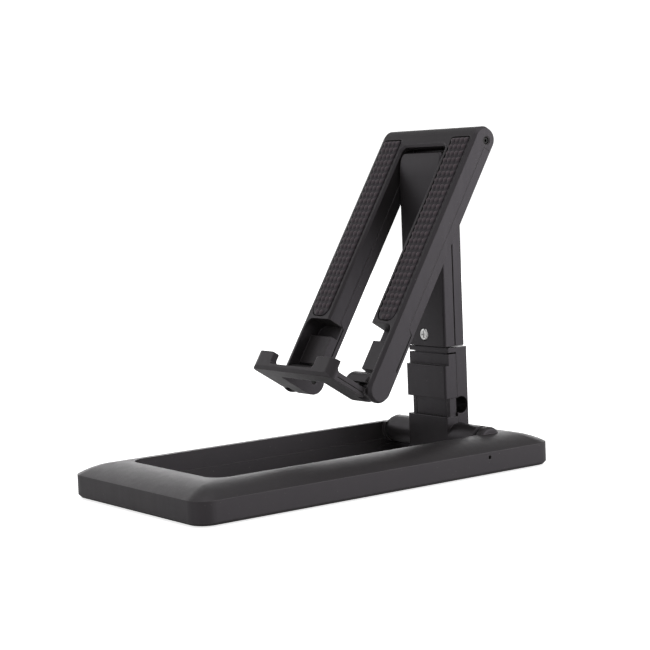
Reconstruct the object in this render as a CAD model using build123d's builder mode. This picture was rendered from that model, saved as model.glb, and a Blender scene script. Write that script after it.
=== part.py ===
from build123d import *
import math
import os

# Folding phone stand: a domed ring base, an upright arm in two lengths joined by a flat
# bar, and a U-shaped cradle with a folding lip. Millimetres, +Z up, -Y towards the user.
# Origin: centre of the base, on the table under the rubber feet.

os.makedirs("parts", exist_ok=True)

# ---------------------------------------------------------------- driving sizes
BASE_LENGTH = 150.0          # along Y
BASE_WIDTH = 79.6            # along X
BASE_EDGE_HEIGHT = 8.3       # where the upright wall meets the domed top
BASE_RIM_HEIGHT = 12.1       # top of the dome, at the opening
BASE_FLOOR = 0.5             # underside of the shell above the table
BASE_CORNER = 6.5
WALL = 1.8
OPENING_WIDTH = 53.0
OPENING_FRONT = -60.0
OPENING_REAR = 62.0
OPENING_CORNER = 6.0

HINGE_Y = 56.0               # axis the arm folds about
HINGE_Z = 9.4
DRUM_RADIUS = 5.1
DRUM_LENGTH = 47.6
BASE_PIN_RADIUS = 1.5
RUN = 0.05                   # radial play of everything that turns

ARM_WIDTH = 22.5
ARM_FRONT = 50.6
ARM_REAR = 60.0
ARM_BOTTOM = 42.4
ROOT_WIDTH = 21.6
ROOT_FRONT = 50.5
ROOT_REAR = 61.5
SPLIT_Y = 56.0               # joint plane of the lower arm
BAR_WIDTH = 16.5
BAR_FRONT = 52.9
BAR_REAR = 55.3
BAR_TOP = 98.0

PIN_Y = 60.2                 # axis the cradle tilts about
PIN_Z = 115.3
CRADLE_PIN_RADIUS = 1.25
CRADLE_TILT = 31.6           # cradle from upright, in degrees
CRADLE_WIDTH = 52.0
CRADLE_HALF_DEPTH = 4.75
PIN_SET_BACK = 0.6           # the pin lies this far behind the cradle's middle plane
CRADLE_REACH = 97.2          # level of the pin to the lip axis, along the cradle
CRADLE_OPENING = 23.8
OPENING_TOP = -4.2           # top of the cradle's opening, along it from the axis
KNUCKLE_RADIUS = 3.0

LIP_WIDTH = 46.0
LIP_LENGTH = 20.15           # lip axis to the front of the hooks
LIP_GAP = 24.0               # clear width between the lip's two legs
LIP_PIN_RADIUS = 1.0

tilt = math.radians(CRADLE_TILT)
UP_CRADLE = (0, math.sin(tilt), math.cos(tilt))
OUT_CRADLE = (0, -math.cos(tilt), math.sin(tilt))


def cradle_point(out):
    """Point level with the pin, at a distance out from the cradle's middle plane."""
    reach = PIN_SET_BACK + out
    return (0, PIN_Y + OUT_CRADLE[1] * reach, PIN_Z + OUT_CRADLE[2] * reach)


def side_plane(x):
    """Side view at x: first axis up along the cradle, second out of its face."""
    middle = cradle_point(0)
    return Plane(origin=(x, middle[1], middle[2]), x_dir=UP_CRADLE, z_dir=(1, 0, 0))


def pin_plane(x):
    """Side view at x, centred on the pin the cradle tilts about."""
    return Plane(origin=(x, PIN_Y, PIN_Z), x_dir=UP_CRADLE, z_dir=(1, 0, 0))


def face_plane(out):
    """Front view: first axis across, second up the cradle, out from its middle plane."""
    return Plane(origin=cradle_point(out), x_dir=(1, 0, 0), z_dir=OUT_CRADLE)


def arm_side(x):
    """Side view of base and arm at x: first axis is Y, second is Z."""
    return Plane(origin=(x, 0, 0), x_dir=(0, 1, 0), z_dir=(1, 0, 0))


def arm_face(y):
    """Front view of the arm at y: first axis is X, second is Z, normal to the front."""
    return Plane(origin=(0, y, 0), x_dir=(1, 0, 0), z_dir=(0, -1, 0))


opening_middle = (OPENING_FRONT + OPENING_REAR) / 2
opening_length = OPENING_REAR - OPENING_FRONT

# ---------------------------------------------------------------- base shell
# The walls stand upright to the edge line. Above it the top is an arc in section,
# level at the rim of the opening.
DOME_SPAN = (BASE_WIDTH - OPENING_WIDTH) / 2
DOME_RISE = BASE_RIM_HEIGHT - BASE_EDGE_HEIGHT
DOME_RADIUS = (DOME_SPAN ** 2 + DOME_RISE ** 2) / (2 * DOME_RISE)
INNER_SPLIT = 5.6            # joint line between shell and bottom tray, in the opening
TRAY_THICKNESS = 1.6


def dome_height(inset):
    """Height of the top surface at a distance in from the outer wall."""
    drop = DOME_RADIUS - math.sqrt(DOME_RADIUS ** 2 - (DOME_SPAN - inset) ** 2)
    return BASE_RIM_HEIGHT - drop


def base_outline(inset):
    """Outline of the base, moved in from the wall."""
    RectangleRounded(BASE_WIDTH - 2 * inset, BASE_LENGTH - 2 * inset, max(BASE_CORNER - inset / 2, 1.0))


def opening_outline(grow):
    """Outline of the opening, grown outwards."""
    with Locations((0, opening_middle)):
        RectangleRounded(OPENING_WIDTH + 2 * grow, opening_length + 2 * grow, OPENING_CORNER + grow)


def dome_sections(drop):
    """Level slices of the dome, lowered and moved in by the shell's thickness."""
    slices = []
    for share in (0.0, 0.2, 0.45, 0.7, 1.0):
        inset = DOME_SPAN * share
        with BuildSketch(Plane.XY.offset(dome_height(inset) - drop)) as level:
            base_outline(inset + drop)
        slices.append(level.sketch.face())
    return slices


BOSS_OUTER = 33.5            # how far out the pin's boss reaches
COLLAR_INNER = 25.2          # end face of the boss, beside the drum
COLLAR_OUTER = 27.9
PIN_END = 32.0
tray_screws = [(x, y) for x in (-33.5, 33.5) for y in (-67.0, -22.0, 24.0, 68.0)]

with BuildPart(mode=Mode.PRIVATE) as hollow:
    with BuildSketch(Plane.XY.offset(-1)):
        base_outline(WALL)
    extrude(amount=1 + BASE_EDGE_HEIGHT - WALL)
    loft(dome_sections(WALL))
    with BuildSketch(Plane.XY.offset(INNER_SPLIT)):
        opening_outline(WALL)
    extrude(amount=BASE_RIM_HEIGHT, mode=Mode.SUBTRACT)
    # leave the blocks that carry the arm's pin, and the pillars for the tray's screws
    with Locations((BOSS_OUTER - 3.4, HINGE_Y, 10), (3.4 - BOSS_OUTER, HINGE_Y, 10)):
        Box(6.8, 12.2, 13.4, mode=Mode.SUBTRACT)
    with Locations(*[(x, y, 2.5) for x, y in tray_screws]):
        Cylinder(2.6, 12, align=(Align.CENTER, Align.CENTER, Align.MIN), mode=Mode.SUBTRACT)

# the right collar stands up from the dome, the left one is cut off level with the rim
with BuildPart(mode=Mode.PRIVATE) as collars:
    for side in (-1, 1):
        with Locations((side * (COLLAR_INNER + COLLAR_OUTER) / 2, HINGE_Y, HINGE_Z)):
            Cylinder(DRUM_RADIUS, COLLAR_OUTER - COLLAR_INNER, rotation=(0, 90, 0))
    for end in (0, -1):
        fillet(collars.faces().sort_by(Axis.X)[end].edges(), radius=1.2)
    with Locations((-COLLAR_OUTER, HINGE_Y, BASE_RIM_HEIGHT)):
        Box(2 * DRUM_RADIUS, 3 * DRUM_RADIUS, DRUM_RADIUS, align=(Align.CENTER, Align.CENTER, Align.MIN),
            mode=Mode.SUBTRACT)

with BuildPart() as base_shell:
    with BuildSketch(Plane.XY.offset(BASE_FLOOR)):
        base_outline(0)
    extrude(amount=BASE_EDGE_HEIGHT - BASE_FLOOR)
    loft(dome_sections(0))
    chamfer(base_shell.faces().sort_by(Axis.Z)[0].outer_wire().edges(), length=1.0)
    add(hollow.part, mode=Mode.SUBTRACT)
    with BuildSketch(Plane.XY):
        opening_outline(0)
    extrude(amount=2 * BASE_RIM_HEIGHT, mode=Mode.SUBTRACT)
    with Locations((0, HINGE_Y, HINGE_Z)):
        Cylinder(DRUM_RADIUS + 0.2, 2 * COLLAR_INNER, rotation=(0, 90, 0), mode=Mode.SUBTRACT)
    add(collars.part)
    # blind bores for the arm's pin
    with Locations((0, HINGE_Y, HINGE_Z)):
        Cylinder(BASE_PIN_RADIUS + 0.02, 2 * PIN_END + 0.4, rotation=(0, 90, 0), mode=Mode.SUBTRACT)
    # a small blind hole in each side wall
    with Locations((BASE_WIDTH / 2, 44.5, 6.5), (-BASE_WIDTH / 2, 44.5, 6.5)):
        Cylinder(0.65, 2.4, rotation=(0, 90, 0), mode=Mode.SUBTRACT)
    # pilot holes for the tray's screws
    with Locations(*[(x, y, 2.0) for x, y in tray_screws]):
        Cylinder(1.0, 6.4, align=(Align.CENTER, Align.CENTER, Align.MIN), mode=Mode.SUBTRACT)
base_shell.part.label = "base_shell"
export_step(base_shell.part, "parts/base_shell.step")

# ---------------------------------------------------------------- bottom tray, feet
FOOT_DEPTH = 0.4
FOOT_WIDTH = 7.0
foot_spots = [(x, y) for x in (-31.4, 31.4) for y in (-45.0, 45.0)]

with BuildPart() as base_tray:
    with BuildSketch(Plane.XY.offset(BASE_FLOOR)):
        base_outline(WALL + 0.1)
        with BuildSketch(mode=Mode.PRIVATE) as cut_out:
            opening_outline(0.05)
        add(cut_out.sketch, mode=Mode.SUBTRACT)
    extrude(amount=TRAY_THICKNESS)
    with BuildSketch(Plane.XY.offset(BASE_FLOOR)):
        opening_outline(WALL - 0.1)
        with BuildSketch(mode=Mode.PRIVATE) as cut_out:
            opening_outline(0.05)
        add(cut_out.sketch, mode=Mode.SUBTRACT)
    extrude(amount=INNER_SPLIT - 0.05 - BASE_FLOOR)
    with Locations((28, HINGE_Y, 6.2), (-28, HINGE_Y, 6.2)):
        Box(4, 12.6, 6, mode=Mode.SUBTRACT)
    with Locations((0, HINGE_Y, HINGE_Z)):
        Cylinder(DRUM_RADIUS + 0.2, 2 * COLLAR_OUTER + 0.4, rotation=(0, 90, 0), mode=Mode.SUBTRACT)
    with Locations(*[(x, y, BASE_FLOOR) for x, y in tray_screws]):
        Cylinder(1.15, 4, mode=Mode.SUBTRACT)
        Cone(2.15, 1.15, 1.0, align=(Align.CENTER, Align.CENTER, Align.MIN), mode=Mode.SUBTRACT)
    with BuildSketch(Plane.XY.offset(BASE_FLOOR)):
        with Locations(*foot_spots):
            SlotOverall(24.4, FOOT_WIDTH + 0.4, rotation=90)
    extrude(amount=FOOT_DEPTH, mode=Mode.SUBTRACT)
base_tray.part.label = "base_tray"
export_step(base_tray.part, "parts/base_tray.step")

with BuildPart() as rubber_feet:
    with BuildSketch():
        with Locations(*foot_spots):
            SlotOverall(24, FOOT_WIDTH, rotation=90)
    extrude(amount=BASE_FLOOR + FOOT_DEPTH - 0.02)
    chamfer(rubber_feet.faces().group_by(Axis.Z)[0].edges(), length=0.3)
rubber_feet.part.label = "rubber_feet"
export_step(rubber_feet.part, "parts/rubber_feet.step")

with BuildPart() as base_screws:
    with Locations(*[(x, y, BASE_FLOOR + 0.05) for x, y in tray_screws]):
        Cone(2.0, 0.95, 0.95, align=(Align.CENTER, Align.CENTER, Align.MIN))
        Cylinder(0.95, 6.0, align=(Align.CENTER, Align.CENTER, Align.MIN))
        Box(2.0, 0.5, 1.2, mode=Mode.SUBTRACT)
        Box(0.5, 2.0, 1.2, mode=Mode.SUBTRACT)
base_screws.part.label = "base_screws"
export_step(base_screws.part, "parts/base_screws.step")

with BuildPart() as base_pin:
    with Locations((0, HINGE_Y, HINGE_Z)):
        Cylinder(BASE_PIN_RADIUS, 2 * PIN_END, rotation=(0, 90, 0))
    chamfer(base_pin.edges().filter_by(GeomType.CIRCLE), length=0.3)
base_pin.part.label = "base_pin"
export_step(base_pin.part, "parts/base_pin.step")

washer_middle = (DRUM_LENGTH / 2 + COLLAR_INNER) / 2
with BuildPart() as friction_washers:
    with Locations((washer_middle, HINGE_Y, HINGE_Z), (-washer_middle, HINGE_Y, HINGE_Z)):
        Cylinder(4.4, COLLAR_INNER - DRUM_LENGTH / 2 - 0.1, rotation=(0, 90, 0))
        Cylinder(BASE_PIN_RADIUS + 0.03, 4, rotation=(0, 90, 0), mode=Mode.SUBTRACT)
friction_washers.part.label = "friction_washers"
export_step(friction_washers.part, "parts/friction_washers.step")

# ---------------------------------------------------------------- lower arm
NECK_BOTTOM = 16.9           # top of the block above the drum
NECK_TOP = 23.6              # underside of the collar
COLLAR_STEP = 35.4
COLLAR_TOP = 39.6
STEP_FRONT = 52.4
BLOCK_FRONT = 50.8           # the block reaches down in front of the drum
BLOCK_BOTTOM = 4.8
COVER_TOP = 41.9
NECK_WIDTH = 20.3
NOTCH_Z = 20.9               # round notch across the rear cover, open at the front
NOTCH_RADIUS = 3.1
NOTCH_Y = 57.7
BAR_BOTTOM = 12.1
root_screws_at = [(-5.2, 29.5), (5.2, 29.5)]
bar_middle = (BAR_FRONT + BAR_REAR) / 2
bar_depth = BAR_REAR - BAR_FRONT

with BuildPart() as arm_root:
    with Locations((0, HINGE_Y, HINGE_Z)):
        Cylinder(DRUM_RADIUS, DRUM_LENGTH, rotation=(0, 90, 0))
    chamfer(arm_root.edges().filter_by(GeomType.CIRCLE), length=0.5)
    with BuildSketch(arm_side(-ROOT_WIDTH / 2)):
        with Locations((BLOCK_FRONT, BLOCK_BOTTOM)):
            Rectangle(SPLIT_Y - BLOCK_FRONT, NECK_BOTTOM - BLOCK_BOTTOM, align=(Align.MIN, Align.MIN))
    extrude(amount=ROOT_WIDTH)
    fillet(arm_root.edges().filter_by(Axis.Z).group_by(Axis.Y)[0], radius=0.4)
    # the neck stands round the bar, flush with its front
    with Locations((0, BAR_FRONT, NECK_BOTTOM - 0.5)):
        Box(NECK_WIDTH, SPLIT_Y - 0.05 - BAR_FRONT, NECK_TOP - NECK_BOTTOM + 0.45,
            align=(Align.CENTER, Align.MIN, Align.MIN))
    with Locations((0, bar_middle, BAR_BOTTOM - 0.05)):
        Box(BAR_WIDTH + 0.1, bar_depth + 0.1, 20, align=(Align.CENTER, Align.CENTER, Align.MIN),
            mode=Mode.SUBTRACT)
    with Locations((0, HINGE_Y, HINGE_Z)):
        Cylinder(BASE_PIN_RADIUS + RUN, DRUM_LENGTH + 2, rotation=(0, 90, 0), mode=Mode.SUBTRACT)
arm_root.part.label = "arm_root"
export_step(arm_root.part, "parts/arm_root.step")

SCREW_Z = 46.5               # the screw that ties the upper arm to the bar
with BuildPart() as arm_bar:
    with Locations((0, bar_middle, BAR_BOTTOM)):
        Box(BAR_WIDTH, bar_depth, BAR_TOP - BAR_BOTTOM, align=(Align.CENTER, Align.CENTER, Align.MIN))
    fillet(arm_bar.edges().filter_by(Axis.Z), radius=0.4)
    with BuildSketch(arm_face(BAR_FRONT - 1)):
        with Locations((0, SCREW_Z)):
            Circle(1.3)
        with Locations(*root_screws_at):
            Circle(1.3)
    extrude(amount=-bar_depth - 2, mode=Mode.SUBTRACT)
arm_bar.part.label = "arm_bar"
export_step(arm_bar.part, "parts/arm_bar.step")

with BuildPart() as arm_collar:
    with BuildSketch(arm_side(-ROOT_WIDTH / 2)):
        with BuildLine():
            Polyline(
                (SPLIT_Y - 0.05, NECK_TOP), (ROOT_FRONT, NECK_TOP), (ROOT_FRONT, COLLAR_STEP),
                (STEP_FRONT, COLLAR_STEP), (STEP_FRONT, COLLAR_TOP), (SPLIT_Y - 0.05, COLLAR_TOP), close=True)
        make_face()
    extrude(amount=ROOT_WIDTH)
    fillet(arm_collar.edges().filter_by(Axis.Z).group_by(Axis.Y)[0], radius=0.8)
    with Locations((0, bar_middle + 1, 30)):
        Box(BAR_WIDTH + 0.1, bar_depth + 2.1, 30, mode=Mode.SUBTRACT)
    with BuildSketch(arm_face(BAR_REAR)):
        with Locations(*root_screws_at):
            Circle(1.02)
    extrude(amount=BAR_REAR - ROOT_FRONT - 0.8, mode=Mode.SUBTRACT)
arm_collar.part.label = "arm_collar"
export_step(arm_collar.part, "parts/arm_collar.step")

with BuildPart() as arm_cover:
    with BuildSketch(arm_side(-ROOT_WIDTH / 2)):
        with BuildLine():
            Polyline(
                (SPLIT_Y + 0.05, HINGE_Z + 3), (ROOT_REAR, HINGE_Z + 3), (ROOT_REAR, COVER_TOP),
                (STEP_FRONT, COVER_TOP), (STEP_FRONT, COLLAR_TOP + 0.5), (SPLIT_Y + 0.05, COLLAR_TOP + 0.5),
                close=True)
        make_face()
        with Locations((NOTCH_Y, NOTCH_Z)):
            Circle(NOTCH_RADIUS, mode=Mode.SUBTRACT)
    extrude(amount=ROOT_WIDTH)
    fillet(arm_cover.edges().filter_by(Axis.Z).group_by(Axis.Y)[-1], radius=0.8)
    with Locations((0, HINGE_Y, HINGE_Z)):
        Cylinder(DRUM_RADIUS + 0.05, 30, rotation=(0, 90, 0), mode=Mode.SUBTRACT)
    with Locations((0, bar_middle, COVER_TOP)):
        Box(BAR_WIDTH + 0.1, bar_depth + 0.1, 6, mode=Mode.SUBTRACT)
    with BuildSketch(arm_face(ROOT_REAR)):
        with Locations(*root_screws_at):
            Circle(2.0)
    extrude(amount=1.4, mode=Mode.SUBTRACT)
    with BuildSketch(arm_face(ROOT_REAR)):
        with Locations(*root_screws_at):
            Circle(1.1)
    extrude(amount=8, mode=Mode.SUBTRACT)
arm_cover.part.label = "arm_cover"
export_step(arm_cover.part, "parts/arm_cover.step")

with BuildPart() as arm_cover_screws:
    with BuildSketch(arm_face(ROOT_REAR - 0.2)):
        with Locations(*root_screws_at):
            Circle(1.8)
    extrude(amount=1.1)
    with BuildSketch(arm_face(ROOT_REAR - 1)):
        with Locations(*root_screws_at):
            Circle(0.98)
    extrude(amount=ROOT_REAR - 1 - ROOT_FRONT - 1.2)
    with BuildSketch(arm_face(ROOT_REAR)):
        with Locations(*root_screws_at):
            Rectangle(2.0, 0.5)
            Rectangle(0.5, 2.0)
    extrude(amount=0.9, mode=Mode.SUBTRACT)
arm_cover_screws.part.label = "arm_cover_screws"
export_step(arm_cover_screws.part, "parts/arm_cover_screws.step")

# ---------------------------------------------------------------- upper arm
ARM_SPLIT = 55.4             # joint plane of the two shells
GROOVE = 0.45                # shadow groove along each side, over the joint
GROOVE_DEPTH = 0.45
CAVITY_TOP = 100.0
SHOULDER_Z = 104.0
SHOULDER_TOP = 111.8
SWEEP = 6.8                  # the cradle's top bar turns inside this radius
NECK_FRONT = 58.7
NECK_REAR = 61.9
CAVITY_FRONT = BAR_FRONT - 0.08
split_dip = math.sqrt(SWEEP ** 2 - (PIN_Y - ARM_SPLIT) ** 2)
neck_dip = math.sqrt(SWEEP ** 2 - (PIN_Y - NECK_FRONT) ** 2)
shoulder_y = 54.2
shoulder_dip = math.sqrt(SWEEP ** 2 - (PIN_Y - shoulder_y) ** 2)

with BuildPart() as arm_front:
    with BuildSketch(arm_side(-ARM_WIDTH / 2)):
        with BuildLine():
            Line((ARM_SPLIT, ARM_BOTTOM), (ARM_FRONT, ARM_BOTTOM))
            Line((ARM_FRONT, ARM_BOTTOM), (ARM_FRONT, SHOULDER_Z))
            ThreePointArc((ARM_FRONT, SHOULDER_Z), (ARM_FRONT + 0.45, SHOULDER_Z + 4), (52.3, SHOULDER_TOP))
            Line((52.3, SHOULDER_TOP), (shoulder_y, PIN_Z - shoulder_dip))
            Line((shoulder_y, PIN_Z - shoulder_dip), (ARM_SPLIT, PIN_Z - split_dip))
            Line((ARM_SPLIT, PIN_Z - split_dip), (ARM_SPLIT, ARM_BOTTOM))
        make_face()
    extrude(amount=ARM_WIDTH)
    with BuildSketch(arm_face(ARM_FRONT - 2)) as outline:
        with Locations((0, ARM_BOTTOM)):
            Rectangle(ARM_WIDTH, SHOULDER_TOP + 1 - ARM_BOTTOM, align=(Align.CENTER, Align.MIN))
        fillet(outline.vertices().group_by(Axis.Y)[-1], radius=3.5)
    extrude(amount=-10, mode=Mode.INTERSECT)
    fillet(arm_front.edges().filter_by(Axis.Z).group_by(Axis.Y)[0], radius=0.9)
    with Locations((0, CAVITY_FRONT, ARM_BOTTOM - 1)):
        Box(BAR_WIDTH + 0.16, 6, CAVITY_TOP - ARM_BOTTOM + 1, align=(Align.CENTER, Align.MIN, Align.MIN),
            mode=Mode.SUBTRACT)
    with Locations((ARM_WIDTH / 2, ARM_SPLIT, 80), (-ARM_WIDTH / 2, ARM_SPLIT, 80)):
        Box(2 * GROOVE_DEPTH, GROOVE, 90, mode=Mode.SUBTRACT)
    with BuildSketch(arm_face(ARM_FRONT - 1)):
        with Locations((0, SCREW_Z)):
            Circle(2.35)
    extrude(amount=-1.8, mode=Mode.SUBTRACT)
    with BuildSketch(arm_face(ARM_FRONT - 1)):
        with Locations((0, SCREW_Z)):
            Circle(1.15)
    extrude(amount=-6, mode=Mode.SUBTRACT)
arm_front.part.label = "arm_front"
export_step(arm_front.part, "parts/arm_front.step")

with BuildPart() as arm_rear:
    with BuildSketch(arm_side(-ARM_WIDTH / 2)):
        with BuildLine():
            Polyline(
                (ARM_SPLIT, PIN_Z - split_dip), (ARM_SPLIT, ARM_BOTTOM), (ARM_REAR - 0.8, ARM_BOTTOM),
                (ARM_REAR, ARM_BOTTOM + 0.8), (ARM_REAR, 98.5), (NECK_REAR, 105.5),
                (NECK_REAR, PIN_Z - neck_dip), (NECK_FRONT, PIN_Z - neck_dip), close=True)
        make_face()
        with Locations((PIN_Y, PIN_Z)):
            Circle(SWEEP, mode=Mode.SUBTRACT)
    extrude(amount=ARM_WIDTH)
    fillet(arm_rear.edges().filter_by(Axis.Z).group_by(Axis.Y)[-2], radius=0.9)
    neck_width = CRADLE_OPENING - 2.6
    with BuildSketch(arm_side(-neck_width / 2)):
        with Locations((NECK_FRONT, PIN_Z - neck_dip - 1.5)):
            Rectangle(NECK_REAR - NECK_FRONT, neck_dip + 1.5, align=(Align.MIN, Align.MIN))
        with Locations((PIN_Y, PIN_Z)):
            Circle(KNUCKLE_RADIUS)
    extrude(amount=neck_width)
    with Locations((0, ARM_SPLIT - 1, 53)):
        Box(BAR_WIDTH + 0.16, 3.3, CAVITY_TOP - 53, align=(Align.CENTER, Align.MIN, Align.MIN),
            mode=Mode.SUBTRACT)
    with Locations((ARM_WIDTH / 2, ARM_SPLIT, 80), (-ARM_WIDTH / 2, ARM_SPLIT, 80)):
        Box(2 * GROOVE_DEPTH, GROOVE, 90, mode=Mode.SUBTRACT)
    with BuildSketch(arm_face(ARM_SPLIT - 1)):
        with Locations((0, SCREW_Z)):
            Circle(1.02)
    extrude(amount=-4, mode=Mode.SUBTRACT)
    with Locations((0, PIN_Y, PIN_Z)):
        Cylinder(CRADLE_PIN_RADIUS + RUN, 40, rotation=(0, 90, 0), mode=Mode.SUBTRACT)
arm_rear.part.label = "arm_rear"
export_step(arm_rear.part, "parts/arm_rear.step")

with BuildPart() as arm_screw:
    with BuildSketch(arm_face(ARM_FRONT - 0.3)):
        with Locations((0, SCREW_Z)):
            Circle(2.15)
    extrude(amount=-1.05)
    fillet(arm_screw.faces().sort_by(Axis.Y)[0].edges(), radius=0.5)
    with BuildSketch(arm_face(ARM_FRONT + 0.7)):
        with Locations((0, SCREW_Z)):
            Circle(0.98)
    extrude(amount=-6.6)
    with BuildSketch(arm_face(ARM_FRONT - 0.5)):
        with Locations((0, SCREW_Z)):
            Rectangle(2.6, 0.6, rotation=8)
            Rectangle(0.6, 2.6, rotation=8)
    extrude(amount=-0.9, mode=Mode.SUBTRACT)
arm_screw.part.label = "arm_screw"
export_step(arm_screw.part, "parts/arm_screw.step")

# ---------------------------------------------------------------- cradle
# Measured from the tilting axis: "up" along the cradle, "out" towards the user.
HALF = CRADLE_HALF_DEPTH
RAIL_INNER = CRADLE_OPENING / 2
RAIL_OUTER = CRADLE_WIDTH / 2
CHEEK = 2.1                  # outer wall of a rail, where the lip is hinged
POCKET_OUTER = RAIL_OUTER - CHEEK
PAD_INNER = 14.3
PAD_OUTER = 23.3
PAD_TOP = -1.3
PAD_BOTTOM = -73.6
PAD_RECESS = 0.8
PAD_PROUD = 0.9
PAD_CORNER = 3.4
PAD_GAP = 0.25
BORDER = 0.6                 # shadow gap between the pad and the strip beside it
SEAM_OUT = -0.8              # joint plane between rail and back cover
SEAM_TOP = -2.6
SEAM_STEP = -73.6            # where the joint steps back, behind the lip's pockets
SEAM_LOW_OUT = -3.0
SEAM_END = -88.9
COVER_END = -90.2
HOOK_TOP = -74.7             # pocket that takes the hook of the folded lip
HOOK_BOTTOM = -79.8
HOOK_DEPTH = 6.9
LEG_DEPTH = 4.2              # pocket that takes the leg of the folded lip
LIP_AXIS = -CRADLE_REACH
HUB_RADIUS = 5.4
HINGE_ROOM = HUB_RADIUS + 1.2
BAR_INNER = KNUCKLE_RADIUS + 0.3
JOINT = 0.02                 # half the gap at the joint of rail and cover
LOW_JOINT = 9                # the gap behind the pockets is this many times wider
FLARE = 0.8                  # bevel round the front edge of the opening
OPENING_CORNER_RADIUS = 2.0
POCKET_CORNER = 3.0
cover_screws_up = (-9.5, -67.5)
HOLLOW_TOP = -14.0
HOLLOW_BOTTOM = -63.0
screw_x = (PAD_INNER + PAD_OUTER) / 2
both_sides = (-screw_x, screw_x)

with BuildPart(mode=Mode.PRIVATE) as rail_form:
    with BuildSketch(side_plane(-RAIL_OUTER)):
        with Locations((LIP_AXIS / 2, 0)):
            SlotCenterToCenter(CRADLE_REACH, 2 * HALF)
    extrude(amount=CRADLE_WIDTH)
    for end in (0, -1):
        side_face = rail_form.faces().sort_by(Axis.X)[end]
        chamfer(side_face.edges(), length=0.7, length2=1.3, reference=side_face)


def seam_zone(grow):
    """Side outline of the back covers; grow moves the joint out into the rail."""
    low_out = SEAM_LOW_OUT + LOW_JOINT * grow
    Polygon(
        (SEAM_TOP + grow, -HALF - 1), (SEAM_TOP + grow, SEAM_OUT + grow),
        (SEAM_STEP - grow, SEAM_OUT + grow), (SEAM_STEP - 1.6 - grow, low_out),
        (SEAM_END - grow, low_out), (COVER_END - grow, -HALF), (COVER_END - grow, -HALF - 1),
        align=None)


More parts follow.
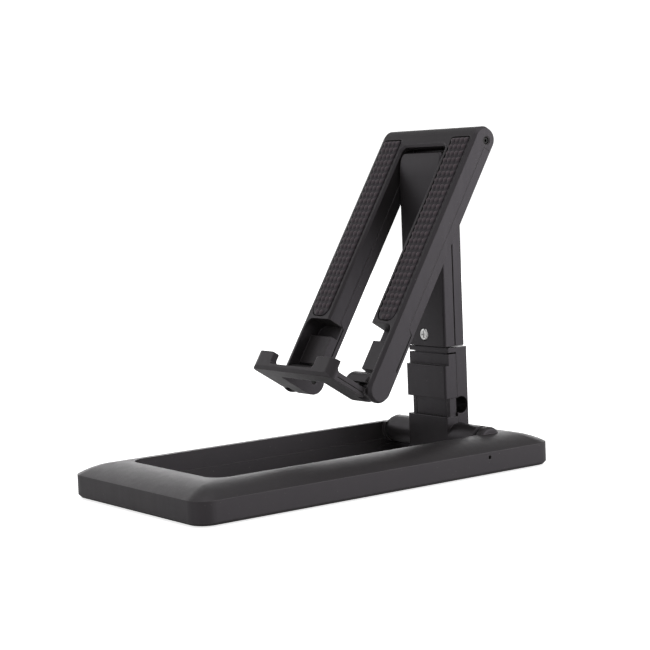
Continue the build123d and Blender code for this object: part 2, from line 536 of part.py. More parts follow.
with BuildPart() as cradle_frame:
    add(rail_form.part)
    # the opening, which runs out at the lower end
    with BuildSketch(face_plane(HALF + 1)) as opening:
        with Locations((0, OPENING_TOP)):
            Rectangle(CRADLE_OPENING, CRADLE_REACH + 20, align=(Align.CENTER, Align.MAX))
        fillet(opening.vertices().group_by(Axis.Y)[-1], radius=OPENING_CORNER_RADIUS)
    extrude(amount=-2 * HALF - 2, mode=Mode.SUBTRACT)
    with BuildSketch(face_plane(HALF)) as opening:
        with Locations((0, OPENING_TOP + FLARE)):
            Rectangle(CRADLE_OPENING + 2 * FLARE, CRADLE_REACH + 20, align=(Align.CENTER, Align.MAX))
        fillet(opening.vertices().group_by(Axis.Y)[-1], radius=OPENING_CORNER_RADIUS + FLARE)
    extrude(amount=-FLARE, taper=45, mode=Mode.SUBTRACT)
    # top bar: a C-shaped wall round the arm's knuckle, open at the rear and below
    with BuildSketch(pin_plane(-RAIL_INNER)):
        Circle(BAR_INNER)
        with BuildLine():
            low = math.radians(33)
            high = math.radians(215)
            Polyline(
                (0, 0), (-12 * math.cos(low), 12 * math.sin(low)), (-14, -12),
                (-12 * math.cos(high), 12 * math.sin(high)), close=True)
        make_face()
    extrude(amount=CRADLE_OPENING, mode=Mode.SUBTRACT)
    # joint with the back covers, and the hollow of the rails behind the pads
    with BuildSketch(side_plane(-RAIL_OUTER - 1)):
        seam_zone(JOINT)
    extrude(amount=CRADLE_WIDTH + 2, mode=Mode.SUBTRACT)
    with BuildSketch(face_plane(SEAM_OUT - 0.5)):
        with Locations(*[(x, (HOLLOW_TOP + HOLLOW_BOTTOM) / 2) for x in both_sides]):
            RectangleRounded(PAD_OUTER - PAD_INNER + 0.6, HOLLOW_TOP - HOLLOW_BOTTOM, 1.5)
    extrude(amount=0.5 - SEAM_OUT + HALF - PAD_RECESS - 2.0, mode=Mode.SUBTRACT)
    # recess of each pad
    with BuildSketch(face_plane(HALF - PAD_RECESS)) as recess:
        for side in (-1, 1):
            recess_middle = side * (PAD_INNER - BORDER + PAD_OUTER + PAD_GAP) / 2
            with Locations((recess_middle, (PAD_TOP + PAD_BOTTOM) / 2)):
                Rectangle(PAD_OUTER - PAD_INNER + BORDER + PAD_GAP, PAD_TOP - PAD_BOTTOM + 2 * PAD_GAP)
        fillet(recess.vertices().group_by(Axis.Y)[0], radius=PAD_CORNER)
        fillet(recess.vertices().group_by(Axis.Y)[-1], radius=1.0)
    extrude(amount=2, mode=Mode.SUBTRACT)
    # pockets of the folded lip: deep for its hooks, shallow for its legs
    with BuildSketch(face_plane(HALF + 1)) as pockets:
        for side in (-1, 1):
            with Locations((side * (RAIL_INNER + POCKET_OUTER) / 2, HOOK_TOP)):
                Rectangle(POCKET_OUTER - RAIL_INNER, HOOK_TOP - HOOK_BOTTOM, align=(Align.CENTER, Align.MAX))
        upper = pockets.vertices().group_by(Axis.Y)[-1].sort_by(Axis.X)
        fillet([upper[0], upper[-1]], radius=POCKET_CORNER)
    extrude(amount=-HOOK_DEPTH - 1, mode=Mode.SUBTRACT)
    with BuildSketch(face_plane(HALF + 1)):
        for side in (-1, 1):
            with Locations((side * (RAIL_INNER + POCKET_OUTER) / 2, HOOK_BOTTOM + 0.01)):
                Rectangle(POCKET_OUTER - RAIL_INNER, 40, align=(Align.CENTER, Align.MAX))
    extrude(amount=-LEG_DEPTH - 1, mode=Mode.SUBTRACT)
    # room round the lip's hubs, between the cheeks
    with BuildSketch(side_plane(-POCKET_OUTER)):
        with Locations((LIP_AXIS, 0)):
            Circle(HINGE_ROOM)
            Rectangle(20, 4 * HALF, align=(Align.MAX, Align.CENTER))
    extrude(amount=2 * POCKET_OUTER, mode=Mode.SUBTRACT)
    # bores: the cradle's pin, the lip's two pins, the covers' screws
    with BuildSketch(pin_plane(-RAIL_OUTER - 1)):
        Circle(CRADLE_PIN_RADIUS + 0.02)
    extrude(amount=CRADLE_WIDTH + 2, mode=Mode.SUBTRACT)
    with BuildSketch(side_plane(-RAIL_OUTER + 0.65)):
        with Locations((LIP_AXIS, 0)):
            Circle(LIP_PIN_RADIUS + 0.02)
    extrude(amount=CRADLE_WIDTH - 1.3, mode=Mode.SUBTRACT)
    with BuildSketch(face_plane(SEAM_OUT - 1)):
        with Locations(*[(x, up) for x in both_sides for up in cover_screws_up]):
            Circle(0.82)
    extrude(amount=4.0, mode=Mode.SUBTRACT)
    # shallow dish round each end of the cradle's pin
    for side in (-1, 1):
        with BuildSketch(pin_plane(side * RAIL_OUTER)):
            Circle(1.6)
        extrude(amount=-0.2 * side, mode=Mode.SUBTRACT)
cradle_frame.part.label = "cradle_frame"
export_step(cradle_frame.part, "parts/cradle_frame.step")


for side, name in ((-1, "back_cover_left"), (1, "back_cover_right")):
    with BuildPart() as back_cover:
        with BuildSketch(side_plane(side * RAIL_INNER)):
            seam_zone(-JOINT)
        extrude(amount=side * (RAIL_OUTER - RAIL_INNER + 1))
        add(rail_form.part, mode=Mode.INTERSECT)
        with BuildSketch(face_plane(SEAM_OUT + 1)):
            with Locations((side * screw_x, (HOLLOW_TOP + HOLLOW_BOTTOM) / 2)):
                RectangleRounded(PAD_OUTER - PAD_INNER + 0.6, HOLLOW_TOP - HOLLOW_BOTTOM, 1.5)
        extrude(amount=-HALF + 0.6, mode=Mode.SUBTRACT)
        with BuildSketch(face_plane(-HALF - 1)):
            with Locations(*[(side * screw_x, up) for up in cover_screws_up]):
                Circle(1.75)
        extrude(amount=2.3, mode=Mode.SUBTRACT)
        with BuildSketch(face_plane(-HALF - 1)):
            with Locations(*[(side * screw_x, up) for up in cover_screws_up]):
                Circle(0.95)
        extrude(amount=HALF + 2, mode=Mode.SUBTRACT)
    back_cover.part.label = name
    export_step(back_cover.part, f"parts/{name}.step")

with BuildPart() as back_cover_screws:
    spots = [(x, up) for x in both_sides for up in cover_screws_up]
    with BuildSketch(face_plane(-HALF + 0.4)):
        with Locations(*spots):
            Circle(1.55)
    extrude(amount=0.85)
    with BuildSketch(face_plane(-HALF + 1.2)):
        with Locations(*spots):
            Circle(0.8)
    extrude(amount=5.2)
    with BuildSketch(face_plane(-HALF + 0.2)):
        with Locations(*spots):
            Rectangle(1.8, 0.45)
            Rectangle(0.45, 1.8)
    extrude(amount=0.75, mode=Mode.SUBTRACT)
back_cover_screws.part.label = "back_cover_screws"
export_step(back_cover_screws.part, "parts/back_cover_screws.step")


# the two lower corners of each pad are well rounded
for side, name in ((-1, "grip_pad_left"), (1, "grip_pad_right")):
    with BuildPart() as grip_pad:
        with BuildSketch(face_plane(HALF - PAD_RECESS + 0.02)) as outline:
            with Locations((side * (PAD_INNER + PAD_OUTER) / 2, (PAD_TOP + PAD_BOTTOM) / 2)):
                Rectangle(PAD_OUTER - PAD_INNER, PAD_TOP - PAD_BOTTOM)
            fillet(outline.vertices().group_by(Axis.Y)[0], radius=PAD_CORNER)
            fillet(outline.vertices().group_by(Axis.Y)[-1], radius=1.0)
        extrude(amount=PAD_RECESS + PAD_PROUD - 0.02)
    grip_pad.part.label = name
    export_step(grip_pad.part, f"parts/{name}.step")

CRADLE_PIN_END = 25.5
with BuildPart() as cradle_pin:
    with BuildSketch(pin_plane(-CRADLE_PIN_END)):
        Circle(CRADLE_PIN_RADIUS)
    extrude(amount=2 * CRADLE_PIN_END)
    chamfer(cradle_pin.edges().filter_by(GeomType.CIRCLE), length=0.25)
    for side in (-1, 1):
        with BuildSketch(pin_plane(side * CRADLE_PIN_END)):
            Circle(0.5)
        extrude(amount=-side * 1.5, mode=Mode.SUBTRACT)
cradle_pin.part.label = "cradle_pin"
export_step(cradle_pin.part, "parts/cradle_pin.step")

bush_inner = neck_width / 2 + 0.05
with BuildPart() as cradle_bushes:
    for side in (-1, 1):
        with BuildSketch(pin_plane(side * bush_inner)):
            Circle(2.8)
            Circle(CRADLE_PIN_RADIUS + 0.03, mode=Mode.SUBTRACT)
        extrude(amount=side * (RAIL_INNER - bush_inner - 0.05))
cradle_bushes.part.label = "cradle_bushes"
export_step(cradle_bushes.part, "parts/cradle_bushes.step")

# ---------------------------------------------------------------- lip
# Drawn open: square to the cradle, its legs out in front of the lower end.
LEG_INNER = LIP_GAP / 2
LEG_OUTER = LIP_WIDTH / 2 - 0.05
LEG_BOTTOM = LIP_AXIS - HALF
LEG_TOP = LEG_BOTTOM + 3.0
HOOK_RISE = LEG_BOTTOM + 6.7
HOOK_BACK = LIP_LENGTH - 2.4
BRIDGE_BACK = 13.65
BRIDGE_THICKNESS = 2.1
HOOK_INNER = 12.4
HUB_OUTER = 19.5
DIAGONAL = math.sqrt(0.5)
LIP_CORNER = 3.5
HOOK_FOOT = 1.4
BARREL_RADIUS = 3.6
BARREL_OUTER = POCKET_OUTER - 0.15

with BuildPart() as lip:
    for side in (-1, 1):
        # leg with its hub
        with BuildSketch(side_plane(side * LEG_INNER)):
            with Locations((LIP_AXIS, 0)):
                Circle(HALF)
            with BuildLine():
                Polyline(
                    (LEG_BOTTOM, 0), (LEG_BOTTOM, LIP_LENGTH - 1.2), (LEG_BOTTOM + 1.2, LIP_LENGTH),
                    (LEG_TOP, LIP_LENGTH), (LEG_TOP, 0), close=True)
            make_face()
        extrude(amount=side * (HUB_OUTER - LEG_INNER))
        # the upper front quarter of the hub is a little larger, right up to the cheek
        with BuildSketch(side_plane(side * LEG_INNER)):
            with BuildLine():
                ThreePointArc(
                    (LIP_AXIS + HUB_RADIUS, 0), (LIP_AXIS + HUB_RADIUS * DIAGONAL, HUB_RADIUS * DIAGONAL),
                    (LIP_AXIS, HUB_RADIUS))
                Polyline((LIP_AXIS, HUB_RADIUS), (LIP_AXIS, 0), (LIP_AXIS + HUB_RADIUS, 0))
            make_face()
        extrude(amount=side * (BARREL_OUTER - LEG_INNER))
        with BuildSketch(side_plane(side * HUB_OUTER)):
            with BuildLine():
                Polyline(
                    (LEG_BOTTOM, HALF - 1.2), (LEG_BOTTOM, LIP_LENGTH - 1.2), (LEG_BOTTOM + 1.2, LIP_LENGTH),
                    (LEG_TOP, LIP_LENGTH), (LEG_TOP, HALF - 1.2), close=True)
            make_face()
        extrude(amount=side * (LEG_OUTER - HUB_OUTER))
        with BuildSketch(side_plane(side * HUB_OUTER)):
            with Locations((LIP_AXIS, 0)):
                Circle(BARREL_RADIUS)
            with BuildLine():
                Polyline(
                    (LEG_BOTTOM + 1.15, 0), (LEG_BOTTOM + 1.15, HALF), (LEG_TOP, HALF), (LEG_TOP, 0),
                    close=True)
            make_face()
        extrude(amount=side * (BARREL_OUTER - HUB_OUTER))
    # the two hooks that stand up at the front, each with a hollow curve at its foot
    with BuildSketch(face_plane(HOOK_BACK)) as hooks:
        for side in (-1, 1):
            with Locations((side * (HOOK_INNER + LEG_OUTER) / 2, LEG_TOP - 1)):
                Rectangle(LEG_OUTER - HOOK_INNER, HOOK_RISE - LEG_TOP + 1, align=(Align.CENTER, Align.MIN))
        fillet(hooks.vertices().group_by(Axis.Y)[-1], radius=0.8)
    extrude(amount=LIP_LENGTH - HOOK_BACK)
    for side in (-1, 1):
        with BuildSketch(side_plane(side * HOOK_INNER)):
            with BuildLine():
                RadiusArc((LEG_TOP, HOOK_BACK - HOOK_FOOT), (LEG_TOP + HOOK_FOOT, HOOK_BACK), HOOK_FOOT)
                Polyline(
                    (LEG_TOP + HOOK_FOOT, HOOK_BACK), (LEG_TOP + HOOK_FOOT, HOOK_BACK + 0.5),
                    (LEG_TOP - 0.5, HOOK_BACK + 0.5), (LEG_TOP - 0.5, HOOK_BACK - HOOK_FOOT),
                    (LEG_TOP, HOOK_BACK - HOOK_FOOT))
            make_face()
        extrude(amount=side * (LEG_OUTER - HOOK_INNER))
    # bridge between the legs
    with BuildSketch(side_plane(-LEG_INNER)):
        with BuildLine():
            Polyline(
                (LEG_BOTTOM, BRIDGE_BACK), (LEG_BOTTOM, LIP_LENGTH - 1.2), (LEG_BOTTOM + 1.2, LIP_LENGTH),
                (LEG_BOTTOM + BRIDGE_THICKNESS, LIP_LENGTH), (LEG_BOTTOM + BRIDGE_THICKNESS, BRIDGE_BACK),
                close=True)
        make_face()
    extrude(amount=2 * LEG_INNER)
    # the two front corners are rounded, seen from above
    with BuildSketch(Plane(origin=side_plane(0).from_local_coords((LEG_BOTTOM - 1, 0, 0)),
                           x_dir=(1, 0, 0), z_dir=UP_CRADLE)) as plan:
        with Locations((0, -LIP_LENGTH)):
            Rectangle(2 * LEG_OUTER, LIP_LENGTH, align=(Align.CENTER, Align.MIN))
        fillet(plan.vertices().group_by(Axis.Y)[0], radius=LIP_CORNER)
        with Locations((0, -HALF)):
            Rectangle(2 * POCKET_OUTER, 3 * HALF, align=(Align.CENTER, Align.MIN))
    extrude(amount=3 * HALF, mode=Mode.INTERSECT)
    # a fine groove along the outer side of each leg
    for side in (-1, 1):
        with BuildSketch(side_plane(side * LEG_OUTER)):
            with Locations((LEG_BOTTOM + 1.3, (LIP_LENGTH - LIP_CORNER + HALF) / 2)):
                Rectangle(0.3, LIP_LENGTH - LIP_CORNER - HALF)
        extrude(amount=-side * 0.3, mode=Mode.SUBTRACT)
    with BuildSketch(side_plane(-LIP_WIDTH / 2 - 1)):
        with Locations((LIP_AXIS, 0)):
            Circle(LIP_PIN_RADIUS + RUN)
    extrude(amount=LIP_WIDTH + 2, mode=Mode.SUBTRACT)
lip.part.label = "lip"
export_step(lip.part, "parts/lip.step")

with BuildPart() as lip_pins:
    for side in (-1, 1):
        with BuildSketch(side_plane(side * (LEG_INNER + 0.3))):
            with Locations((LIP_AXIS, 0)):
                Circle(LIP_PIN_RADIUS)
        extrude(amount=side * (RAIL_OUTER - 0.7 - LEG_INNER - 0.3))
lip_pins.part.label = "lip_pins"
export_step(lip_pins.part, "parts/lip_pins.step")
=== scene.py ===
import math

import bmesh
import bpy
from mathutils import Matrix, Vector


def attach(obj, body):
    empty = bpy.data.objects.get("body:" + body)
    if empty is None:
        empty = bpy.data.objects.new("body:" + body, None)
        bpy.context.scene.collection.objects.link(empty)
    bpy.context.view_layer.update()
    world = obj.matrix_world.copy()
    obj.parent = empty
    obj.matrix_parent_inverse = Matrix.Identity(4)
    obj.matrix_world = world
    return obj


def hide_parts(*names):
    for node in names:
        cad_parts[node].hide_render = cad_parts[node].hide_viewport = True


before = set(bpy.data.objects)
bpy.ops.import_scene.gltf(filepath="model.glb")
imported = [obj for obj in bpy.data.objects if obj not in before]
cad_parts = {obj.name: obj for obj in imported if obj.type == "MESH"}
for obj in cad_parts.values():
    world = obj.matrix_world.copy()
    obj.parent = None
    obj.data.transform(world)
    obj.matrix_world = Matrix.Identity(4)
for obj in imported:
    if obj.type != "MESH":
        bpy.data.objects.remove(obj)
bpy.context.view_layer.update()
MM = 0.001


# ---------------------------------------------------------------- node helpers
def new_material(name):
    """An empty node material with its shader and output joined."""
    material = bpy.data.materials.new(name)
    material.use_nodes = True
    tree = material.node_tree
    tree.nodes.clear()
    shader = tree.nodes.new("ShaderNodeBsdfPrincipled")
    output = tree.nodes.new("ShaderNodeOutputMaterial")
    tree.links.new(shader.outputs["BSDF"], output.inputs["Surface"])
    return material, tree, shader


def join(tree, source, target):
    tree.links.new(source, target)


def object_coordinates(tree, scale=(1, 1, 1)):
    """Coordinates fixed to the piece, in millimetres, stretched by scale."""
    where = tree.nodes.new("ShaderNodeTexCoord")
    mapping = tree.nodes.new("ShaderNodeMapping")
    mapping.inputs["Scale"].default_value = [1000 * s for s in scale]
    join(tree, where.outputs["Object"], mapping.inputs["Vector"])
    return mapping.outputs["Vector"]


def noise(tree, vector, scale, detail=3.0, rough=0.55):
    """Noise with scale features per millimetre."""
    node = tree.nodes.new("ShaderNodeTexNoise")
    node.inputs["Scale"].default_value = scale
    node.inputs["Detail"].default_value = detail
    node.inputs["Roughness"].default_value = rough
    join(tree, vector, node.inputs["Vector"])
    return node.outputs["Fac"]


def span(tree, value, low, high, out_low, out_high):
    """Maps low..high to out_low..out_high, held at the ends."""
    node = tree.nodes.new("ShaderNodeMapRange")
    node.inputs["From Min"].default_value = low
    node.inputs["From Max"].default_value = high
    node.inputs["To Min"].default_value = out_low
    node.inputs["To Max"].default_value = out_high
    join(tree, value, node.inputs["Value"])
    return node.outputs["Result"]


def maths(tree, how, a, b):
    node = tree.nodes.new("ShaderNodeMath")
    node.operation = how
    for value, socket in ((a, node.inputs[0]), (b, node.inputs[1])):
        if isinstance(value, (int, float)):
            socket.default_value = value
        else:
            join(tree, value, socket)
    return node.outputs[0]


def mix_colour(tree, share, first, second):
    node = tree.nodes.new("ShaderNodeMix")
    node.data_type = "RGBA"
    for value, socket in ((first, node.inputs[6]), (second, node.inputs[7])):
        if isinstance(value, tuple):
            socket.default_value = value
        else:
            join(tree, value, socket)
    join(tree, share, node.inputs[0])
    return node.outputs[2]


def bump(tree, height, strength, distance, normal=None):
    node = tree.nodes.new("ShaderNodeBump")
    node.inputs["Strength"].default_value = strength
    node.inputs["Distance"].default_value = distance
    join(tree, height, node.inputs["Height"])
    if normal is not None:
        join(tree, normal, node.inputs["Normal"])
    return node.outputs["Normal"]


EDGE_SAMPLES = 6


def rounded_normal(tree, radius):
    """Normals that turn softly over an edge."""
    node = tree.nodes.new("ShaderNodeBevel")
    node.samples = EDGE_SAMPLES
    node.inputs["Radius"].default_value = radius
    return node.outputs["Normal"]


FLAT_MATCH = 0.995           # soft and true normals agree this well on an open face
EDGE_MATCH = 0.85            # and this well where the edge share is full


def edge_share(tree, soft):
    """Near 1 on an edge, 0 on an open face: the mask for the polished edges and their painted
    highlight.
    """
    geometry = tree.nodes.new("ShaderNodeNewGeometry")
    node = tree.nodes.new("ShaderNodeVectorMath")
    node.operation = "DOT_PRODUCT"
    join(tree, soft, node.inputs[0])
    join(tree, geometry.outputs["Normal"], node.inputs[1])
    return span(tree, node.outputs["Value"], FLAT_MATCH, EDGE_MATCH, 0.0, 1.0)


def grey(value, warm=0.0):
    """A grey, with a little more red and less blue as warm grows."""
    return (value * (1 + warm), value, value * (1 - 0.5 * warm), 1.0)


# ---------------------------------------------------------------- materials
COOL_SHEEN = (1.0, 0.92, 1.04, 1)    # the gloss of the plastic and of the pads is faintly violet
MOULDED_EDGE = 0.35 * MM
GRAIN_DEPTH = 0.018 * MM
DUST_TONE = 0.2


def moulded_plastic(name, tone, gloss=0.42):
    """Black moulded plastic: a fine spark-eroded grain, faint rub marks, polished edges and a painted
    highlight along the edges.
    """
    material, tree, shader = new_material(name)
    where = object_coordinates(tree)
    soft = rounded_normal(tree, MOULDED_EDGE)
    # edge share: lowers the roughness (polish) and paints a highlight into the colour
    edge_polish_and_highlight = edge_share(tree, soft)
    cloud = noise(tree, where, 0.05, 4.0)
    fine = noise(tree, where, 2.4, 5.0, 0.7)
    rub = noise(tree, object_coordinates(tree, (0.35, 0.35, 0.05)), 1.1, 2.0)
    clouded = span(tree, cloud, 0.35, 0.65, 0.0, 1.0)
    base = mix_colour(tree, clouded, grey(tone * 0.9, 0.08), grey(tone * 1.1, 0.12))
    speck = mix_colour(tree, span(tree, fine, 0.55, 0.8, 0.0, 0.3), base, grey(tone * 2.2, 0.08))
    dust = span(tree, noise(tree, where, 1.3, 2.0, 0.4), 0.74, 0.8, 0.0, 0.35)
    dusty = mix_colour(tree, dust, speck, grey(DUST_TONE, 0.1))
    # painted highlight: the edges are coloured much lighter, standing in for the shine along them
    colour = mix_colour(tree, maths(tree, "MULTIPLY", edge_polish_and_highlight, 0.8), dusty, grey(tone * 5.0, 0.06))
    join(tree, colour, shader.inputs["Base Color"])
    rubbed = span(tree, rub, 0.4, 0.7, gloss + 0.02, gloss - 0.02)
    rough = maths(tree, "ADD", rubbed, span(tree, fine, 0.3, 0.7, 0.0, 0.08))
    rough = maths(tree, "SUBTRACT", rough, maths(tree, "MULTIPLY", edge_polish_and_highlight, 0.1))
    join(tree, rough, shader.inputs["Roughness"])
    shader.inputs["Specular IOR Level"].default_value = 0.5
    shader.inputs["Specular Tint"].default_value = COOL_SHEEN
    join(tree, bump(tree, fine, 0.45, GRAIN_DEPTH, soft), shader.inputs["Normal"])
    return material


RISE = "rise"                # 1 at the top of a pad's dome, 0 between the domes


def pad_rubber():
    """Brown-black rubber of the grip pads: dull, with painted light on the tops of its domes and
    painted shade in the pits between them.
    """
    material, tree, shader = new_material("pad_rubber")
    where = object_coordinates(tree)
    fine = noise(tree, where, 2.6, 5.0, 0.7)
    cloud = noise(tree, where, 0.12, 3.0)
    height = tree.nodes.new("ShaderNodeAttribute")
    height.attribute_name = RISE
    # painted light and shade: 1 on the dome tops, which get the light colour, 0 in the pits, which keep
    # the dark one
    painted_light_share = span(tree, height.outputs["Fac"], 0.05, 0.75, 0.0, 1.0)
    clouded = span(tree, cloud, 0.35, 0.65, 0.0, 1.0)
    # painted shade: the dark colour seen in the pits between the domes
    base = mix_colour(tree, clouded, (0.007, 0.005, 0.006, 1), (0.011, 0.008, 0.009, 1))
    dusty = mix_colour(tree, span(tree, fine, 0.5, 0.8, 0.0, 0.35), base, (0.050, 0.038, 0.042, 1))
    # painted highlight: the light colour on the dome tops
    colour = mix_colour(tree, painted_light_share, dusty, (0.066, 0.050, 0.054, 1))
    join(tree, colour, shader.inputs["Base Color"])
    join(tree, span(tree, fine, 0.3, 0.7, 0.4, 0.58), shader.inputs["Roughness"])
    shader.inputs["Specular IOR Level"].default_value = 0.45
    shader.inputs["Specular Tint"].default_value = COOL_SHEEN
    join(tree, bump(tree, fine, 0.5, 0.03 * MM), shader.inputs["Normal"])
    return material


def foot_rubber():
    """Dull dark rubber of the feet."""
    material, tree, shader = new_material("foot_rubber")
    where = object_coordinates(tree)
    fine = noise(tree, where, 2.0, 4.0, 0.7)
    colour = mix_colour(tree, span(tree, fine, 0.4, 0.7, 0.0, 1.0), grey(0.02), grey(0.034))
    join(tree, colour, shader.inputs["Base Color"])
    join(tree, span(tree, fine, 0.3, 0.7, 0.75, 0.92), shader.inputs["Roughness"])
    soft = rounded_normal(tree, 0.25 * MM)
    join(tree, bump(tree, fine, 0.5, 0.05 * MM, soft), shader.inputs["Normal"])
    return material


BRUSH_GRAIN = 1.5


def metal(name, tone, rough, brush=(1, 1, 1)):
    """Machined or plated steel with a brushed direction and small stains."""
    material, tree, shader = new_material(name)
    shader.inputs["Metallic"].default_value = 1.0
    streak = noise(tree, object_coordinates(tree, brush), BRUSH_GRAIN, 4.0, 0.6)
    stain = noise(tree, object_coordinates(tree), 0.5, 2.0)
    colour = mix_colour(tree, span(tree, stain, 0.4, 0.7, 0.0, 1.0), grey(tone), grey(tone * 0.8, 0.03))
    join(tree, colour, shader.inputs["Base Color"])
    join(tree, span(tree, streak, 0.3, 0.7, rough * 0.75, rough * 1.3), shader.inputs["Roughness"])
    soft = rounded_normal(tree, 0.12 * MM)
    join(tree, bump(tree, streak, 0.35, 0.01 * MM, soft), shader.inputs["Normal"])
    return material


def washer_plastic():
    """Smooth dark plastic of the washers and bushes."""
    material, tree, shader = new_material("washer_plastic")
    fine = noise(tree, object_coordinates(tree), 2.0, 3.0)
    join(tree, mix_colour(tree, fine, grey(0.012), grey(0.02)), shader.inputs["Base Color"])
    join(tree, span(tree, fine, 0.3, 0.7, 0.5, 0.65), shader.inputs["Roughness"])
    join(tree, bump(tree, fine, 0.3, 0.02 * MM), shader.inputs["Normal"])
    return material


finishes = {
    "base": moulded_plastic("base_plastic", 0.013),
    "arm": moulded_plastic("arm_plastic", 0.009, 0.38),
    "cradle": moulded_plastic("cradle_plastic", 0.012, 0.42),
    "pad": pad_rubber(),
    "foot": foot_rubber(),
    "pin": metal("pin_steel", 0.035, 0.5, (0.2, 3, 3)),
    "dark_screw": metal("screw_steel", 0.12, 0.36),
    "bright_screw": metal("bright_screw", 0.82, 0.26),
    "washer": washer_plastic(),
}
dressed = {
    "base": ("base_shell", "base_tray"),
    "arm": ("arm_root", "arm_bar", "arm_collar", "arm_cover", "arm_front", "arm_rear"),
    "cradle": ("cradle_frame", "back_cover_left", "back_cover_right", "lip"),
    "pad": ("grip_pad_left", "grip_pad_right"),
    "foot": ("rubber_feet",),
    "pin": ("base_pin", "cradle_pin", "lip_pins"),
    "dark_screw": ("base_screws", "arm_cover_screws", "back_cover_screws"),
    "bright_screw": ("arm_screw",),
    "washer": ("friction_washers", "cradle_bushes"),
}
for finish, names in dressed.items():
    for node_name in names:
        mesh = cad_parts[node_name].data
        mesh.materials.clear()
        mesh.materials.append(finishes[finish])


# ---------------------------------------------------------------- grip pads
PAD_STEP = 0.25 * MM         # spacing of the pad's surface points
BUMP_COLUMNS = 4             # across the pad
BUMP_PITCH = 2.67 * MM       # along the cradle
BUMP_HEIGHT = 0.85 * MM
BUMP_RADIUS = 1.1 * MM
BUMP_CURVE = 1.5             # 1 is a cone, larger is a rounder dome
BUMP_MARGIN = 0.7            # a dome's centre is this share of its radius inside the pad's edge
LOWER_CORNER = 3.4 * MM
UPPER_CORNER = 1.0 * MM
EDGE_ROUND = 0.35 * MM


def pad_axes(faces):
    """Directions across, up and out of the pad, from its largest flat face."""
    largest = max((f for f in faces if f.normal.z > 0.1 and f.normal.y < 0), key=lambda f: f.area)
    out = largest.normal.copy()
    across = Vector((1, 0, 0))
    return across, out.cross(across), out


def edge_distance(x, up, half_width, half_length):
    """How far a point lies inside the rounded outline of the pad."""
    radius = UPPER_CORNER if up > 0 else LOWER_CORNER
    dx = abs(x) - (half_width - radius)
    dy = abs(up) - (half_length - radius)
    outside = math.hypot(max(dx, 0), max(dy, 0))
    return radius - outside - min(max(dx, dy), 0)


def half_span(up, half_width, half_length):
    """Half width of the rounded outline at this height."""
    radius = UPPER_CORNER if up > 0 else LOWER_CORNER
    into_corner = abs(up) - (half_length - radius)
    if into_corner <= 0:
        return half_width
    return half_width - radius + math.sqrt(max(radius ** 2 - into_corner ** 2, 0))


def bump_rise(x, up, half_width, half_length):
    """Height of the nearest moulded dome, on a square lattice of columns and rows."""
    pitch = 2 * half_width / BUMP_COLUMNS
    column = (math.floor(x / pitch) + 0.5) * pitch
    row_pitch = 2 * half_length / round(2 * half_length / BUMP_PITCH)
    row = (math.floor((up + half_length) / row_pitch) + 0.5) * row_pitch - half_length
    if edge_distance(column, row, half_width, half_length) < BUMP_MARGIN * BUMP_RADIUS:
        return 0.0
    away = math.hypot(x - column, up - row) / BUMP_RADIUS
    return BUMP_HEIGHT * max(0.0, 1 - away ** BUMP_CURVE)


def pad_piece(name):
    """A closed rubber pad with rounded edges and rows of small domes, in its CAD solid's place."""
    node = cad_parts[name]
    data = node.data
    across, rise, out = pad_axes(data.polygons)
    where = [(v.co.dot(across), v.co.dot(rise), v.co.dot(out)) for v in data.vertices]
    low = [min(p[k] for p in where) for k in range(3)]
    high = [max(p[k] for p in where) for k in range(3)]
    middle = [(low[k] + high[k]) / 2 for k in range(3)]
    half_width = (high[0] - low[0]) / 2
    half_length = (high[1] - low[1]) / 2
    slab = high[2] - BUMP_HEIGHT
    columns = round(2 * half_width / PAD_STEP)
    rows = round(2 * half_length / PAD_STEP)
    build = bmesh.new()
    share = build.verts.layers.float.new(RISE)

    def point(x, up, height):
        return across * (middle[0] + x) + rise * (middle[1] + up) + out * height

    grid = []
    for j in range(rows + 1):
        up = -half_length + 2 * half_length * j / rows
        reach = half_span(up, half_width, half_length)
        line = []
        for i in range(columns + 1):
            x = reach * (2 * i / columns - 1)
            inside = max(edge_distance(x, up, half_width, half_length), 0)
            dip = max(EDGE_ROUND - inside, 0)
            height = slab - (EDGE_ROUND - math.sqrt(max(EDGE_ROUND ** 2 - dip ** 2, 0)))
            dome = bump_rise(x, up, half_width, half_length)
            vertex = build.verts.new(point(x, up, height + dome))
            vertex[share] = dome / BUMP_HEIGHT
            line.append(vertex)
        grid.append(line)
    for j in range(rows):
        for i in range(columns):
            build.faces.new((grid[j][i], grid[j][i + 1], grid[j + 1][i + 1], grid[j + 1][i]))
    right_side = [line[-1] for line in grid[1:-1]]
    left_side = [line[0] for line in grid[-2:0:-1]]
    rim = grid[0] + right_side + grid[-1][::-1] + left_side
    foot = []
    for vertex in rim:
        foot.append(build.verts.new(vertex.co + out * (low[2] - vertex.co.dot(out))))
    for k in range(len(rim)):
        after = (k + 1) % len(rim)
        build.faces.new((rim[after], rim[k], foot[k], foot[after]))
    build.faces.new(foot[::-1])
    bmesh.ops.recalc_face_normals(build, faces=build.faces)
    mesh = bpy.data.meshes.new(name + "_rubber")
    build.to_mesh(mesh)
    build.free()
    for face in mesh.polygons:
        face.use_smooth = len(face.vertices) == 4
    mesh.materials.append(finishes["pad"])
    piece = bpy.data.objects.new(name + "_rubber", mesh)
    bpy.context.scene.collection.objects.link(piece)
    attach(piece, "cradle")
    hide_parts(name)


for pad_name in ("grip_pad_left", "grip_pad_right"):
    pad_piece(pad_name)


# ---------------------------------------------------------------- floor, light, camera
FLOOR_GLOW = 0.75            # lifts the floor to white for the camera only
FLOOR_SIZE = 4.0


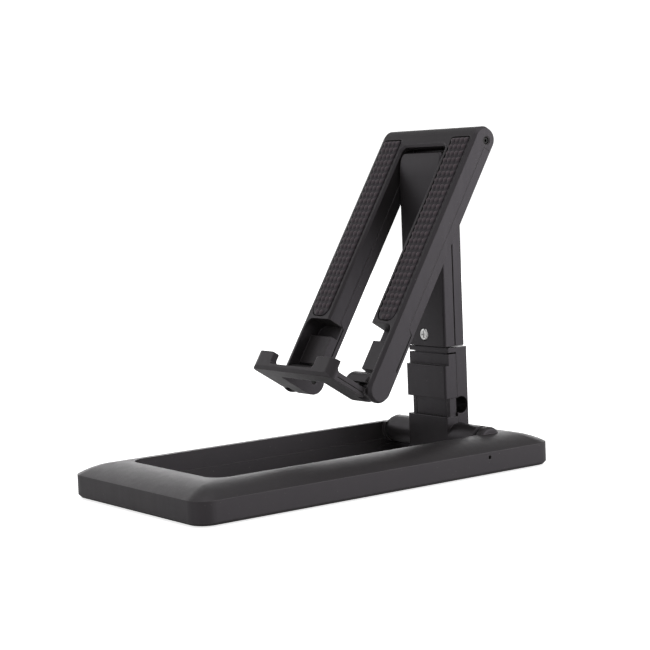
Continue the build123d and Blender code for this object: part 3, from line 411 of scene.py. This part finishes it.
def pale_floor():
    """A plain pale floor, wide enough to fill the view."""
    mesh = bpy.data.meshes.new("floor")
    build = bmesh.new()
    bmesh.ops.create_grid(build, x_segments=1, y_segments=1, size=FLOOR_SIZE)
    build.to_mesh(mesh)
    build.free()
    floor = bpy.data.objects.new("floor", mesh)
    bpy.context.scene.collection.objects.link(floor)
    material, tree, shader = new_material("pale_floor")
    shader.inputs["Base Color"].default_value = (0.9, 0.9, 0.9, 1)
    shader.inputs["Roughness"].default_value = 0.7
    shader.inputs["Specular IOR Level"].default_value = 0.1
    shader.inputs["Emission Color"].default_value = (1, 1, 1, 1)
    ray = tree.nodes.new("ShaderNodeLightPath")
    glow = span(tree, ray.outputs["Is Camera Ray"], 0.0, 1.0, 0.0, FLOOR_GLOW)
    join(tree, glow, shader.inputs["Emission Strength"])
    mesh.materials.append(material)


def soft_light(name, place, size, power):
    """A soft box at place, turned to the stand and hidden from the camera."""
    lamp = bpy.data.lights.new(name, "AREA")
    lamp.shape = "RECTANGLE"
    lamp.size = size[0]
    lamp.size_y = size[1]
    lamp.energy = power
    thing = bpy.data.objects.new(name, lamp)
    bpy.context.scene.collection.objects.link(thing)
    thing.location = place
    thing.rotation_mode = "QUATERNION"
    thing.rotation_quaternion = (Vector(LIGHT_AIM) - Vector(place)).to_track_quat("-Z", "Y")
    thing.visible_camera = False


SKY_LIGHT = 0.43             # strength of the surroundings as light
SKY_SEEN = 1.2               # and as the camera sees them
LIGHT_AIM = (0, 0, 0.05)
SOFT_BOXES = (               # name, place, width and height, power
    ("overhead", (0.0, -0.1, 1.2), (1.0, 1.2), 3.9),
    ("right", (0.75, 0.55, 0.25), (0.9, 0.5), 3.9),
    ("left", (-0.85, -0.15, 0.3), (0.9, 0.5), 1.2),
    ("behind", (-0.98, 0.69, 0.3), (1.2, 0.35), 4.2),
    ("front", (0.1, -1.1, 0.3), (0.9, 0.5), 1.0),
)


def studio():
    """Dim surroundings that look white to the camera, with soft boxes above and all round."""
    world = bpy.data.worlds.new("studio")
    bpy.context.scene.world = world
    world.use_nodes = True
    tree = world.node_tree
    sky = tree.nodes["Background"]
    sky.inputs["Color"].default_value = (1.0, 1.0, 1.0, 1)
    ray = tree.nodes.new("ShaderNodeLightPath")
    strength = span(tree, ray.outputs["Is Camera Ray"], 0.0, 1.0, SKY_LIGHT, SKY_SEEN)
    join(tree, strength, sky.inputs["Strength"])
    for box in SOFT_BOXES:
        soft_light(*box)
    view = bpy.context.scene.view_settings
    view.view_transform = "Standard"
    view.look = "None"


CAMERA_TURN = math.radians(52.961)
CAMERA_DIP = math.radians(5.157)
CAMERA_ROLL = math.radians(-2.304)
CAMERA_PLACE = (0.47843, -0.35530, 0.10787)
CAMERA_LENS = 96.12
CAMERA_SENSOR = 36
NEAREST_SEEN = 0.01
FARTHEST_SEEN = 20


def camera():
    """The camera at the photograph's angle, kept as a turn, a dip and a roll."""
    turn, dip, roll = CAMERA_TURN, CAMERA_DIP, CAMERA_ROLL
    across = math.cos(dip)
    forward = Vector((-math.sin(turn) * across, math.cos(turn) * across, -math.sin(dip)))
    level = Vector((math.cos(turn), math.sin(turn), 0))
    rise = level.cross(forward)
    right = math.cos(roll) * level + math.sin(roll) * rise
    up = math.cos(roll) * rise - math.sin(roll) * level
    data = bpy.data.cameras.new("camera")
    data.sensor_width = CAMERA_SENSOR
    data.lens = CAMERA_LENS
    data.clip_start = NEAREST_SEEN
    data.clip_end = FARTHEST_SEEN
    thing = bpy.data.objects.new("camera", data)
    bpy.context.scene.collection.objects.link(thing)
    place = Matrix((right, up, -forward)).transposed().to_4x4()
    place.translation = Vector(CAMERA_PLACE)
    thing.matrix_world = place
    bpy.context.scene.camera = thing


pale_floor()
studio()
camera()
